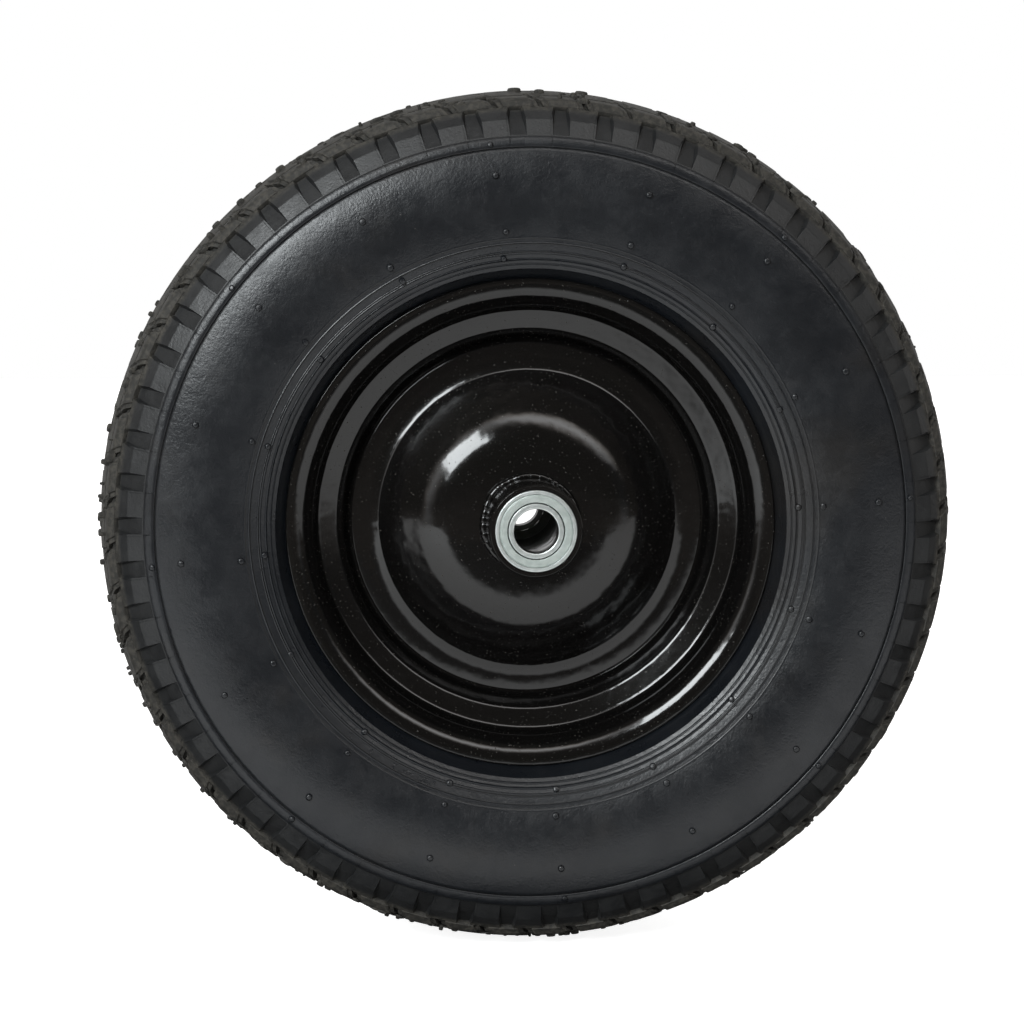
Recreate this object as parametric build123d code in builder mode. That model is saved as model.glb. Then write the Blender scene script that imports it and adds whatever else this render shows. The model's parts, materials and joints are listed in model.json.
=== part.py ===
from build123d import *
import math
import os

# A pneumatic wheel for a barrow or cart: a block-tread tyre with an inner tube, on a rim of two
# pressed halves, with two domed discs welded to a hub tube that holds a ball bearing at each end.
# The wheel turns about the Y axis. The origin is the wheel's centre, and the front faces -Y.
# Sections are drawn in the XY plane, X as the radius and Y as the depth, and revolved about Y.
# Sizes are in millimetres and angles in degrees.

os.makedirs("parts", exist_ok=True)

# Sizes of the tyre
tyre_radius = 200.0
crown_curve = 105.0  # radius of the tread's arc from edge to edge
tread_half_width = 37.0
shoulder_drop = 9.5  # from the tyre's radius down to the foot of the tread blocks' side faces
shoulder_step = 1.3  # sideways from the tread's edge
fold_drop = 6.5  # from there down to where the blocks turn towards the sidewall
fold_step = 5.6
rib_drop = 7.8  # from there down to the outer edge of the smooth band under the blocks
rib_step = 3.3
rib_height = 0.6
band_drop = 4.6  # from there down to the inner edge of that band
band_step = 1.8
line_width = 0.8  # the moulded line inside the band
line_depth = 0.7
lip_clearance = 0.9  # between the rim's edge and the tyre
sidewall_bulge = 1.9  # from the band out to the tyre's widest place
bead_edge_rise = 3.7  # from where the tyre leaves the rim
bead_edge_step = 8.3
bead_line_rise = 4.6  # from there up to the foot of the sidewall's curve
bead_line_step = 2.9
tread_thickness = 10.5
bead_neck_rise = 8.25  # above the bead's seat
bead_neck_inset = 7.1  # inside the flange's tyre side
sidewall_thickness = 4.6
bead_thickness = 12.5  # across the bead, along the axle

# Sizes of the tread pattern
pitches = 58
pocket_start = 0.5  # outwards from the smooth band's edge
pocket_length = 16.4
pocket_slope = 38.0  # the pocket floor's angle from the wheel's plane
pocket_foot_width = 8.2
pocket_end_width = 4.4
pocket_draft = 28.0
slot_width = 2.2
slot_length = 17.0
slot_depth = 3.0  # at the tread's edge
slot_floor_tilt = 12.0
slot_angle = 25.0
tread_turn = 2.53  # of the whole pattern about the axle, from a pocket at the very top
cut_height = 9.0
groove_width = 4.0
groove_depth = 4.6
groove_offset = 16.0  # from the middle of the tread

# Sizes of the pressed rim
rim_steel = 1.6
seat_radius = 101.6  # where the tyre's bead sits
seat_start_depth = 16.5  # where the seat meets the sloping well wall
flange_half_gap = 31.6  # from the wheel's middle plane to the flange's tyre side
root_curve = 8.9  # tyre-side radius between seat and flange
flange_flare = 15.0
flange_height = 11.2  # above the seat
well_slope = 16.0
well_depth = 10.4  # from the seat's visible side down the sloping well wall
well_foot_drop = 4.6
rim_plate_width = 17.0  # of the flat ring inside the well's foot
foot_bend = 2.0
well_bend = 2.6
seat_bend = 3.0

# Sizes of the domed discs
disc_steel = 2.0
disc_edge_gap = 1.5  # between the disc's edge and the well's foot
flat_ring_width = 6.4
dome_curve = 100.0
dome_tilt = 6.0  # the dome's angle where it meets the hub tube
valley_curve = 21.0
valley_tilt = 18.0
crease_bend = 2.5
weld_leg = 2.6

# Sizes of the hub tube
hub_length = 120.0
hub_seat_wall = 2.7  # around each bearing
hub_seat_ledge = 1.5  # the step that the bearing stands against
hub_chamfer = 0.7
weld_gap = 0.1

# Sizes of the ball bearings
axle_radius = 10.0
bearing_section = 8.5  # from the bore to the outside
bearing_width = 9.0
ring_thickness = 2.5
race_depth = 0.631
balls = 12
ball_clearance = 0.03
ring_chamfer = 0.5
shield_steel = 0.4
shield_seat_depth = 0.95
shield_seat_step = 0.75  # outwards from the outer ring's land
shield_seat_gap = 0.05
shield_rim_drop = 0.2  # from the bearing's face down to the shield's crimped rim
shield_gap = 0.25
cage_land_gap = 0.85
cage_end_gap = 0.45
cage_clearance = 0.17

# Sizes of the valve
valve_rise = 5.0  # up the sloping well wall
stem_radius = 4.0
stem_bore_radius = 1.9
stem_length = 30.0
stem_hole_clearance = 0.4
stem_foot_step = 0.6
stem_foot_thickness = 1.6
stem_foot_gap = 0.05
thread_length = 12.0
thread_drop = 0.2
core_gap = 0.15
core_pin_radius = 0.6
core_length = 20.0
core_pin_length = 1.5
core_drop = 0.4  # from the stem's end down to the core's pin
cap_wall = 1.12
cap_length = 13.0
cap_clearance = 0.08
cap_wall_top = 2.0
cap_bend = 1.2

# Sizes of the inner tube
tube_wall = 1.7
tube_gap = 0.3
tube_neck_rise = 3.6  # above the foot of the sloping well wall
tube_neck_half_width = 8.0
tube_bend = 2.0

# Fits between the tyre and the rim
bead_gap = 0.15


def at(radius, depth):
    """A point of a section, given by its radius and its depth from the wheel's middle plane."""
    return (radius, depth)


def along(point, angle, distance):
    """The point at a distance from another, at an angle from the radial direction."""
    turn = math.radians(angle)
    return (point[0] + distance * math.cos(turn), point[1] + distance * math.sin(turn))


def sine(angle):
    return math.sin(math.radians(angle))


def cosine(angle):
    return math.cos(math.radians(angle))


def tangent(angle):
    return math.tan(math.radians(angle))


def save(part, name):
    """Labels a finished piece and writes it to its own file."""
    part.label = name
    export_step(part, f"parts/{name}.step")


# Rim half: the flange, the bead seat and the well wall are one pressing.
# The path is its visible side, and the steel's thickness lies on the tyre's side of it.
seat_face = seat_radius - rim_steel
flange_radius = seat_radius + flange_height
well_top_radius = seat_face - well_depth
well_foot_radius = well_top_radius - well_foot_drop
rim_hole_radius = well_foot_radius - rim_plate_width
root_centre = at(seat_radius + root_curve, flange_half_gap - root_curve)
root_end = along(root_centre, 90 + flange_flare, root_curve + rim_steel)
flange_end = at(flange_radius, root_end[1] + (flange_radius - root_end[0]) * tangent(flange_flare))
well_top_depth = seat_start_depth - (seat_face - well_top_radius) * tangent(well_slope)

with BuildPart() as rear_rim_blank:
    with BuildSketch(Plane.XY):
        with BuildLine() as rim_path:
            well = FilletPolyline(
                at(rim_hole_radius, rim_steel),
                at(well_foot_radius, rim_steel),
                at(well_top_radius, well_top_depth),
                at(seat_face, seat_start_depth),
                at(seat_face, root_centre[1]),
                radius=[foot_bend, well_bend, seat_bend],
            )
            root = CenterArc(root_centre, root_curve + rim_steel, 180, flange_flare - 90)
            flange = Line(root_end, flange_end)
            offset(amount=rim_steel, side=Side.RIGHT)
        make_face()
    revolve(axis=Axis.Y)


with BuildPart() as front_rim:
    mirror(rear_rim_blank.part, about=Plane.XZ)
save(front_rim.part, "front_rim")

# The valve's axis stands square on the rear half's sloping well wall, at the top of the wheel.
valve_radius_place = well_top_radius + valve_rise
valve_depth = well_top_depth + (valve_radius_place - well_top_radius) * tangent(well_slope)
valve_plane = Plane(
    origin=(0, valve_depth, valve_radius_place),
    x_dir=(1, 0, 0),
    z_dir=(0, cosine(well_slope), -sine(well_slope)),
)
stem_hole_radius = stem_radius + stem_hole_clearance

with BuildPart() as rear_rim:
    add(rear_rim_blank.part)
    with BuildSketch(valve_plane.offset(-2 * rim_steel)):
        Circle(stem_hole_radius)
    extrude(amount=4 * rim_steel, mode=Mode.SUBTRACT)
save(rear_rim.part, "rear_rim")

# Domed disc: a dome from the hub tube to a crease, then a shallow valley and a flat ring that is
# spot welded against the rim half. The path is the visible side. The weld at the hub is one with it.
bearing_radius = axle_radius + bearing_section
hub_radius = bearing_radius + hub_seat_wall
disc_radius = well_foot_radius - disc_edge_gap
valley_radius = disc_radius - flat_ring_width
dome_radius = valley_radius - valley_curve * sine(valley_tilt)
ring_depth = rim_steel + disc_steel
disc_hole_radius = hub_radius + weld_gap
dome_centre_radius = hub_radius - dome_curve * sine(dome_tilt)
dome_end_tilt = math.degrees(math.asin((dome_radius - dome_centre_radius) / dome_curve))
crease_depth = ring_depth + valley_curve * (1 - cosine(valley_tilt))
dome_centre_depth = crease_depth - dome_curve * cosine(dome_end_tilt)
dome_start_tilt = math.degrees(math.asin((disc_hole_radius - dome_centre_radius) / dome_curve))
hub_end_depth = dome_centre_depth + dome_curve * cosine(dome_start_tilt)

with BuildPart() as rear_disc:
    with BuildSketch(Plane.XY):
        with BuildLine():
            dome = CenterArc(
                at(dome_centre_radius, dome_centre_depth),
                dome_curve,
                90 - dome_start_tilt,
                dome_start_tilt - dome_end_tilt,
            )
            valley = CenterArc(
                at(valley_radius, ring_depth + valley_curve), valley_curve, 270 - valley_tilt, valley_tilt
            )
            Line(valley @ 1, at(disc_radius, ring_depth))
            offset(amount=disc_steel, side=Side.RIGHT)
        make_face()
        with BuildLine():
            Polyline(
                at(disc_hole_radius, hub_end_depth - disc_steel / 2),
                at(disc_hole_radius, hub_end_depth + weld_leg),
                at(disc_hole_radius + weld_leg, hub_end_depth - disc_steel / 2),
                close=True,
            )
        make_face()
        with Locations(at(0, hub_end_depth)):
            Rectangle(2 * disc_hole_radius, 4 * weld_leg, mode=Mode.SUBTRACT)
    revolve(axis=Axis.Y)
    rounds = rear_disc.edges().filter_by(GeomType.CIRCLE)
    fillet(rounds.filter_by(lambda edge: abs(edge.radius - dome_radius) < disc_steel), crease_bend)
save(rear_disc.part, "rear_disc")

with BuildPart() as front_disc:
    mirror(rear_disc.part, about=Plane.XZ)
save(front_disc.part, "front_disc")

# Hub tube, with a seat for a bearing turned in each end.
hub_bore_radius = bearing_radius - hub_seat_ledge

with BuildPart() as hub_tube:
    with BuildSketch(Plane.XY):
        with Locations(at((hub_radius + hub_bore_radius) / 2, 0)):
            Rectangle(hub_radius - hub_bore_radius, hub_length)
        seat_places = [
            at((bearing_radius + hub_bore_radius) / 2, side * (hub_length - bearing_width) / 2)
            for side in (-1, 1)
        ]
        with Locations(seat_places):
            Rectangle(bearing_radius - hub_bore_radius, bearing_width, mode=Mode.SUBTRACT)
    revolve(axis=Axis.Y)
    ends = hub_tube.edges().filter_by(GeomType.CIRCLE).group_by(lambda edge: edge.radius)[-1]
    chamfer(ends, hub_chamfer)
save(hub_tube.part, "hub_tube")

# Ball bearings: each has two rings, a row of balls in a cage, and a pressed shield on each side.
inner_land_radius = axle_radius + ring_thickness
outer_land_radius = bearing_radius - ring_thickness
pitch_radius = (inner_land_radius + outer_land_radius) / 2
ball_radius = outer_land_radius - pitch_radius + race_depth
race_radius = ball_radius + ball_clearance
shield_seat_radius = outer_land_radius + shield_seat_step
cage_thickness = outer_land_radius - inner_land_radius - 2 * cage_land_gap
cage_width = bearing_width - 2 * (shield_seat_depth + cage_end_gap)
shield_hole_radius = inner_land_radius + shield_gap
shield_radius = shield_seat_radius - shield_seat_gap

for end, side in (("front", -1), ("rear", 1)):
    middle = side * (hub_length - bearing_width) / 2

    with BuildPart() as outer_ring:
        with BuildSketch(Plane.XY):
            with Locations(at((bearing_radius + outer_land_radius) / 2, middle)):
                Rectangle(bearing_radius - outer_land_radius, bearing_width)
            with Locations(at(pitch_radius, middle)):
                Circle(race_radius, mode=Mode.SUBTRACT)
            seat_middle = (shield_seat_radius + outer_land_radius) / 2
            faces = [middle - bearing_width / 2, middle + bearing_width / 2]
            with Locations([at(seat_middle, face) for face in faces]):
                Rectangle(
                    shield_seat_radius - outer_land_radius, 2 * shield_seat_depth, mode=Mode.SUBTRACT
                )
        revolve(axis=Axis.Y)
        corners = outer_ring.edges().filter_by(GeomType.CIRCLE).group_by(lambda edge: edge.radius)[-1]
        chamfer(corners, ring_chamfer)
    save(outer_ring.part, f"{end}_outer_ring")

    with BuildPart() as inner_ring:
        with BuildSketch(Plane.XY):
            with Locations(at((inner_land_radius + axle_radius) / 2, middle)):
                Rectangle(inner_land_radius - axle_radius, bearing_width)
            with Locations(at(pitch_radius, middle)):
                Circle(race_radius, mode=Mode.SUBTRACT)
        revolve(axis=Axis.Y)
    save(inner_ring.part, f"{end}_inner_ring")

    ball_plane = Plane.XZ.offset(-middle)
    with BuildPart(ball_plane) as ball_row:
        with PolarLocations(pitch_radius, balls):
            Sphere(ball_radius)
    save(ball_row.part, f"{end}_balls")

    with BuildPart(ball_plane) as cage:
        with BuildSketch(Plane.XY):
            with Locations(at(pitch_radius, middle)):
                Rectangle(cage_thickness, cage_width)
        revolve(axis=Axis.Y)
        with PolarLocations(pitch_radius, balls):
            Cylinder(
                ball_radius + cage_clearance,
                2 * cage_thickness,
                rotation=(0, 90, 0),
                mode=Mode.SUBTRACT,
            )
    save(cage.part, f"{end}_cage")

    for place, face in (("outer", side), ("inner", -side)):
        plate_depth = middle + face * (bearing_width / 2 - shield_seat_depth + shield_steel / 2)
        rim_height = shield_seat_depth - shield_rim_drop
        rim_depth = middle + face * (bearing_width / 2 - shield_rim_drop - rim_height / 2)
        with BuildPart() as shield:
            with BuildSketch(Plane.XY):
                with Locations(at((shield_radius + shield_hole_radius) / 2, plate_depth)):
                    Rectangle(shield_radius - shield_hole_radius, shield_steel)
                with Locations(at(shield_radius - shield_steel / 2, rim_depth)):
                    Rectangle(shield_steel, rim_height)
            revolve(axis=Axis.Y)
        save(shield.part, f"{end}_{place}_shield")

# Tyre: the outside of the casing, less the space for the inner tube, then the cut tread.
bead_seat = seat_radius + bead_gap
crown_centre = at(tyre_radius - crown_curve, 0)
edge_angle = math.degrees(math.asin(tread_half_width / crown_curve))
tread_edge = along(crown_centre, edge_angle, crown_curve)
heel_curve = root_curve - bead_gap
heel_end = along(root_centre, 90 + flange_flare, heel_curve)
leave_radius = flange_radius + lip_clearance
flange_leave = at(leave_radius, heel_end[1] + (leave_radius - heel_end[0]) * tangent(flange_flare))
bead_edge = at(leave_radius + bead_edge_rise, flange_leave[1] + bead_edge_step)
bead_line = at(bead_edge[0] + bead_line_rise, bead_edge[1] + bead_line_step)
shoulder = at(tyre_radius - shoulder_drop, tread_edge[1] + shoulder_step)
fold = at(shoulder[0] - fold_drop, shoulder[1] + fold_step)
rib_edge = at(fold[0] - rib_drop, fold[1] + rib_step)
band_edge = at(rib_edge[0] - band_drop, rib_edge[1] + band_step)
line_edge = at(band_edge[0] - line_width, band_edge[1])
peak = at((bead_line[0] + line_edge[0]) / 2, band_edge[1] + sidewall_bulge)
sidewall = ThreePointArc(bead_line, peak, line_edge)
inner_crown_angle = math.degrees(math.asin((tread_half_width - tread_thickness / 2) / crown_curve))


with BuildSketch(Plane.XY) as cavity:
    with BuildLine():
        crown = CenterArc(crown_centre, crown_curve - tread_thickness, 0, inner_crown_angle)
        wall_centre = sidewall.arc_center
        wall_top = math.degrees(math.atan2(line_edge[1] - wall_centre.Y, line_edge[0] - wall_centre.X))
        wall_foot = math.degrees(math.atan2(bead_line[1] - wall_centre.Y, bead_line[0] - wall_centre.X))
        wall = CenterArc(wall_centre, sidewall.radius - sidewall_thickness, wall_top, wall_foot - wall_top)
        Line(crown @ 1, wall @ 0)
        Polyline(
            wall @ 1,
            at(bead_seat + bead_neck_rise, flange_half_gap - bead_neck_inset),
            at(bead_seat, flange_half_gap - bead_thickness),
            at(bead_seat, 0),
        )
        mirror(about=Plane.XZ)
    make_face()

with BuildPart() as tyre:
    with BuildSketch(Plane.XY):
        with BuildLine():
            Line(at(bead_seat, 0), at(bead_seat, root_centre[1]))
            CenterArc(root_centre, heel_curve, 180, flange_flare - 90)
            Polyline(heel_end, flange_leave, bead_edge, bead_line)
            add(sidewall)
            Polyline(
                line_edge,
                at(line_edge[0], line_edge[1] - line_depth),
                at(band_edge[0], band_edge[1] - line_depth),
                band_edge,
                at(rib_edge[0], rib_edge[1] + rib_height),
                rib_edge,
                fold,
                shoulder,
                tread_edge,
            )
            CenterArc(crown_centre, crown_curve, edge_angle, -edge_angle)
            mirror(about=Plane.XZ)
        make_face()
        with Locations(at(tyre_radius, -groove_offset), at(tyre_radius, groove_offset)):
            Rectangle(2 * groove_depth, groove_width, mode=Mode.SUBTRACT)
        add(cavity.sketch, mode=Mode.SUBTRACT)
    revolve(axis=Axis.Y)

# A pocket between two shoulder blocks is a slanting, tapered hole with drafted sides.
pocket_plane = Plane(
    origin=(rib_edge[0], rib_edge[1], 0),
    x_dir=(cosine(pocket_slope), -sine(pocket_slope), 0),
    z_dir=(sine(pocket_slope), cosine(pocket_slope), 0),
)
with BuildPart() as pocket:
    for height in (0, cut_height):
        spread = height * tangent(pocket_draft)
        with BuildSketch(pocket_plane.offset(height)):
            Polygon(
                (pocket_start, -pocket_foot_width / 2 - spread),
                (pocket_length, -pocket_end_width / 2 - spread),
                (pocket_length, pocket_end_width / 2 + spread),
                (pocket_start, pocket_foot_width / 2 + spread),
                align=None,
            )
    loft()

# A narrow slanting slot runs in from the tread's edge over the middle of each shoulder block.
slot_plane = Plane(
    origin=(tread_edge[0] - slot_depth, tread_edge[1], 0),
    x_dir=(sine(slot_floor_tilt), -cosine(slot_floor_tilt), 0),
    z_dir=(cosine(slot_floor_tilt), sine(slot_floor_tilt), 0),
)
with BuildPart() as slot:
    with BuildSketch(slot_plane):
        with Locations((slot_length / 4, 0)):
            Rectangle(slot_length, slot_width, rotation=-slot_angle)
    extrude(amount=cut_height)

pitch_angle = 360 / pitches
cuts = []
for number in range(pitches):
    block_angle = number * pitch_angle - tread_turn
    pocket_angle = block_angle + pitch_angle / 2
    cuts.append(pocket.part.rotate(Axis.Y, pocket_angle))
    cuts.append(pocket.part.mirror(Plane.XZ).rotate(Axis.Y, pocket_angle))
    cuts.append(slot.part.rotate(Axis.Y, block_angle))
    cuts.append(slot.part.mirror(Plane.XZ).rotate(Axis.Y, block_angle))
with tyre:
    add(cuts, mode=Mode.SUBTRACT)
save(tyre.part, "tyre")

# Inner tube: it fills the tyre and hangs down between the rim's well walls as a narrower neck.
tube_neck_radius = well_top_radius + tube_neck_rise
neck_root_radius = bead_seat + 2 * tube_gap
neck_root_half_width = tube_neck_half_width + (neck_root_radius - tube_neck_radius) * tangent(well_slope)
neck_side_depth = tube_neck_half_width + (valve_radius_place - tube_neck_radius) * tangent(well_slope)
stem_start = stem_foot_gap - (valve_depth - neck_side_depth) * cosine(well_slope)

with BuildSketch(Plane.XY) as tube_section:
    add(cavity.sketch)
    offset(amount=-tube_gap, mode=Mode.REPLACE)
    with BuildLine():
        Polyline(
            at(tube_neck_radius, -tube_neck_half_width),
            at(neck_root_radius, -neck_root_half_width),
            at(neck_root_radius, neck_root_half_width),
            at(tube_neck_radius, tube_neck_half_width),
            close=True,
        )
    make_face()
    fillet(tube_section.vertices().filter_by_position(Axis.X, 0, bead_seat + tube_gap + 0.01), tube_bend)

with BuildPart() as inner_tube:
    with BuildSketch(Plane.XY):
        add(tube_section.sketch)
        offset(tube_section.sketch, amount=-tube_wall, mode=Mode.SUBTRACT)
    revolve(axis=Axis.Y)
    with BuildSketch(valve_plane.offset(stem_start)):
        Circle(stem_bore_radius)
    extrude(amount=-2 * tube_wall, mode=Mode.SUBTRACT)
save(inner_tube.part, "inner_tube")

# Valve: a stem with a foot on the tube's neck, a core down its bore, and a cap over its thread.
thread_radius = stem_radius - thread_drop

with BuildPart() as valve_stem:
    for radius, length in (
        (stem_radius + stem_foot_step, stem_foot_thickness),
        (stem_radius, stem_length - thread_length),
        (thread_radius, stem_length),
    ):
        with BuildSketch(valve_plane.offset(stem_start)):
            Circle(radius)
        extrude(amount=length)
    with BuildSketch(valve_plane.offset(stem_start)):
        Circle(stem_bore_radius)
    extrude(amount=stem_length, mode=Mode.SUBTRACT)
save(valve_stem.part, "valve_stem")

stem_end = stem_start + stem_length
with BuildPart() as valve_core:
    with BuildSketch(valve_plane.offset(stem_end - core_length)):
        Circle(stem_bore_radius - core_gap)
    extrude(amount=core_length - core_pin_length - core_drop)
    with BuildSketch(valve_plane.offset(stem_end - core_length)):
        Circle(core_pin_radius)
    extrude(amount=core_length - core_drop)
save(valve_core.part, "valve_core")

cap_start = stem_end + cap_clearance + cap_wall_top - cap_length
with BuildPart() as valve_cap:
    with BuildSketch(valve_plane.offset(cap_start)):
        Circle(thread_radius + cap_clearance + cap_wall)
    extrude(amount=cap_length)
    fillet(valve_cap.edges().filter_by(GeomType.CIRCLE).sort_by(Axis.Y)[-1], cap_bend)
    with BuildSketch(valve_plane.offset(cap_start)):
        Circle(thread_radius + cap_clearance)
    extrude(amount=cap_length - cap_wall_top, mode=Mode.SUBTRACT)
save(valve_cap.part, "valve_cap")
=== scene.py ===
# %% [markdown]
# # A pneumatic barrow wheel
# The wheel is a black rubber tyre on a gloss black rim of pressed steel, with a hub tube and a
# shielded ball bearing at its centre. Almost every visible piece is round, so almost every piece
# here is a section carried round the wheel's axis. The packed wheel gives the true sizes, and the
# surfaces below stand for its solids with the fine forms that a camera sees.

# %% Load the packed wheel
import json
import math

import bpy
import numpy as np
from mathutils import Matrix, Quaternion, Vector

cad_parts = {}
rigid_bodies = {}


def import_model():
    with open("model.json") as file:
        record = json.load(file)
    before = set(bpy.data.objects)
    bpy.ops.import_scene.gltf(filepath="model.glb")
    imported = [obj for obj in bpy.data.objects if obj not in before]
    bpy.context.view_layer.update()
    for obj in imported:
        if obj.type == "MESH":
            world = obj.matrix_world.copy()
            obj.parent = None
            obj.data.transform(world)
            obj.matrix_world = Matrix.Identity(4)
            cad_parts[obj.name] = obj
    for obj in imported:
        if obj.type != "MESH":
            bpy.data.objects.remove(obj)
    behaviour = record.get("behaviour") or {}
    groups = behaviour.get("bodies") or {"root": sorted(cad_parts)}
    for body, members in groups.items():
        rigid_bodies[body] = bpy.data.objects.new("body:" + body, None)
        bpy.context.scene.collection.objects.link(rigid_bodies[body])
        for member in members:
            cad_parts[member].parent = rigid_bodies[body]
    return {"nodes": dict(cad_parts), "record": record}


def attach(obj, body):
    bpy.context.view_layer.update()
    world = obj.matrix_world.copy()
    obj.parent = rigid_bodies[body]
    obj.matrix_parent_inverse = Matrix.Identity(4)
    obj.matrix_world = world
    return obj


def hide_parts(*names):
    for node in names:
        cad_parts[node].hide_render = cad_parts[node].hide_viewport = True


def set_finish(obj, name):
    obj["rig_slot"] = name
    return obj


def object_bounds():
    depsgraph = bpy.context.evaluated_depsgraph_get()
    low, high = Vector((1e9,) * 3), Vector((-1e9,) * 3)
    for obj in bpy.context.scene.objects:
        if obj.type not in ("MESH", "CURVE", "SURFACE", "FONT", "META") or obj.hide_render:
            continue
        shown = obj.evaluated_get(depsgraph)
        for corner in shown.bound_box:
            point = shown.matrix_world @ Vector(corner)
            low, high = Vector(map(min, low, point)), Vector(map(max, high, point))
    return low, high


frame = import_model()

cad_low, cad_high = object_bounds()
print("packed wheel, mm:", [round(1000 * (high - low), 1) for low, high in zip(cad_low, cad_high)])

# %% [markdown]
# ## The camera
# The photograph looks almost straight at the wheel's face from about a metre away, a little from
# the left and from above. A long lens keeps the ellipses nearly round. The camera aims slightly
# beside the axis, so that the wheel sits where it does in the picture.

# %% Place the camera
scene = bpy.context.scene
azimuth, elevation = math.radians(-4.26), math.radians(6.31)
back = Vector((
    math.sin(azimuth) * math.cos(elevation),
    -math.cos(azimuth) * math.cos(elevation),
    math.sin(elevation),
))
lens = bpy.data.cameras.new("camera")
lens.lens = 73.65
camera = bpy.data.objects.new("camera", lens)
scene.collection.objects.link(camera)
camera.location = back
straight = (-back).to_track_quat("-Z", "Y")
aim = straight @ Vector((-0.0069, 0.0023, 0))
camera.rotation_mode = "QUATERNION"
camera.rotation_quaternion = (aim - camera.location).to_track_quat("-Z", "Y")
scene.camera = camera
print("camera at", [round(value, 3) for value in camera.location])

# %% [markdown]
# ## Sections as complex numbers
# A point of a section has a radius and a depth along the axle. Writing it as one complex number,
# radius plus depth times i, makes turning and offsetting a section a matter of multiplying and
# adding. All sections are in millimetres.

# %% Helpers for sections
def rounded(points, bends, steps=8):
    """Replaces each inner corner by an arc. The arc starts bend * tan(turn / 2) before the corner."""
    path = [points[0]]
    for before, corner, after, bend in zip(points, points[1:], points[2:], bends):
        into, out = corner - before, after - corner
        into, out = into / abs(into), out / abs(out)
        turn = np.angle(out / into)
        first = corner - into * bend * math.tan(abs(turn) / 2)
        centre = first + into * 1j * np.sign(turn) * bend
        path.extend(centre + (first - centre) * np.exp(1j * turn * np.linspace(0, 1, steps)))
    path.append(points[-1])
    return np.array(path)


def lengths(path):
    """The distance along the path up to each of its points."""
    return np.concatenate([[0], np.cumsum(abs(np.diff(path)))])


def spaced(path, step):
    """The same path with points an even step apart, so that light runs smoothly over its flats."""
    along = lengths(path)
    places = np.linspace(0, along[-1], max(2, round(along[-1] / step) + 1))
    return np.interp(places, along, path.real) + 1j * np.interp(places, along, path.imag)


def outward(path):
    """Unit vectors a quarter turn left of the path's direction."""
    direction = np.gradient(path)
    return 1j * direction / abs(direction)


def arc(centre, radius, start, finish, steps=24):
    """Points centre + radius * e^(i * angle), for angles in degrees."""
    return centre + radius * np.exp(1j * np.radians(np.linspace(start, finish, steps)))


# %% [markdown]
# ## From sections to closed surfaces
# A grid of radius, depth and angle becomes a ring: each point goes to radius times the angle's
# cosine and sine, at its depth. Both directions of the grid close on themselves, so the surface
# has no open edge. Its signed volume says whether its faces look outwards.

# %% Helpers for surfaces
def make_piece(name, points, faces, body, slot, replaced=(), sharp=40.0, sunk=None):
    """Makes a mesh from points in millimetres. Where the volume under the faces is negative, they look
    inwards, so they are turned. The attribute sunk holds how far each point lies in a moulded hollow."""
    corners = points[faces]
    double_areas = np.cross(corners[:, 2] - corners[:, 0], corners[:, 3] - corners[:, 1])
    if (corners.mean(1) * double_areas).sum() < 0:
        faces = faces[:, ::-1]
    mesh = bpy.data.meshes.new(name)
    mesh.from_pydata((points * 0.001).tolist(), [], faces.tolist())
    mesh.shade_smooth()
    mesh.set_sharp_from_angle(angle=math.radians(sharp))
    if sunk is not None:
        # The tyre's rubber darkens its colour by this depth, as painted shade in the hollows.
        mesh.attributes.new("sunk", "FLOAT", "POINT").data.foreach_set("value", np.float32(sunk.ravel()))
    piece = bpy.data.objects.new(name, mesh)
    scene.collection.objects.link(piece)
    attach(piece, body)
    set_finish(piece, slot)
    if replaced:
        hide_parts(*replaced)
    print(name, "faces:", len(faces))


def ring_faces(rows, columns):
    """Four-sided faces of a grid. Its last row joins its first, and so does its last column."""
    index = np.arange(rows * columns).reshape(rows, columns)
    right = np.roll(index, -1, 1)
    return np.stack([index, right, np.roll(right, -1, 0), np.roll(index, -1, 0)], -1).reshape(-1, 4)


def ring_points(radius, depth, angle):
    """Each grid point at (radius * cos(angle), depth, radius * sin(angle))."""
    radius, depth, angle = np.broadcast_arrays(radius, depth, angle)
    return np.stack([radius * np.cos(angle), depth, radius * np.sin(angle)], -1).reshape(-1, 3)


def lathe(name, section, side, slot, replaced=(), columns=240, sharp=40.0, body="wheel"):
    """A closed section turned round the axle. The side is 1 at the rear, and -1 mirrors it to the front."""
    angle = np.linspace(0, 2 * np.pi, columns, endpoint=False)
    points = ring_points(section.real[:, None], side * section.imag[:, None], angle[None, :])
    make_piece(name, points, ring_faces(len(section), columns), body, slot, replaced, sharp)


ends = (("front", -1), ("rear", 1))

# %% [markdown]
# ## The tyre's sections
# The tyre is moulded in one piece, but its parts need different care. Each sidewall is smooth with
# fine moulded rings, each shoulder has the cut blocks, and the middle of the tread is a plain
# rib. So it is built as five rings that meet in the bottoms of its moulded grooves, where no
# join can show.

# %% Tyre profile
def circle_centre(first, middle, last):
    """Solves |c - first| = |c - middle| = |c - last| as two linear equations."""
    rows = [[2 * (point - first).real, 2 * (point - first).imag] for point in (middle, last)]
    right = [abs(point) ** 2 - abs(first) ** 2 for point in (middle, last)]
    across, along = np.linalg.solve(np.array(rows), np.array(right))
    return complex(across, along)


crown_centre = 95.0
crown_curve = 104.88
crown_hollow = crown_curve - 10.5
wall_top, wall_peak, wall_foot = 170.8 + 49.0j, 147.0 + 50.9j, 122.0 + 43.8j
wall_centre = circle_centre(wall_foot, wall_peak, wall_top)
wall_curve = abs(wall_foot - wall_centre)
top_angle, foot_angle = (math.degrees(np.angle(point - wall_centre)) for point in (wall_top, wall_foot))
wall_inside = arc(wall_centre, wall_curve - 4.6, top_angle, foot_angle, 14)
print("sidewall curve, mm:", round(wall_curve, 1))

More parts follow.
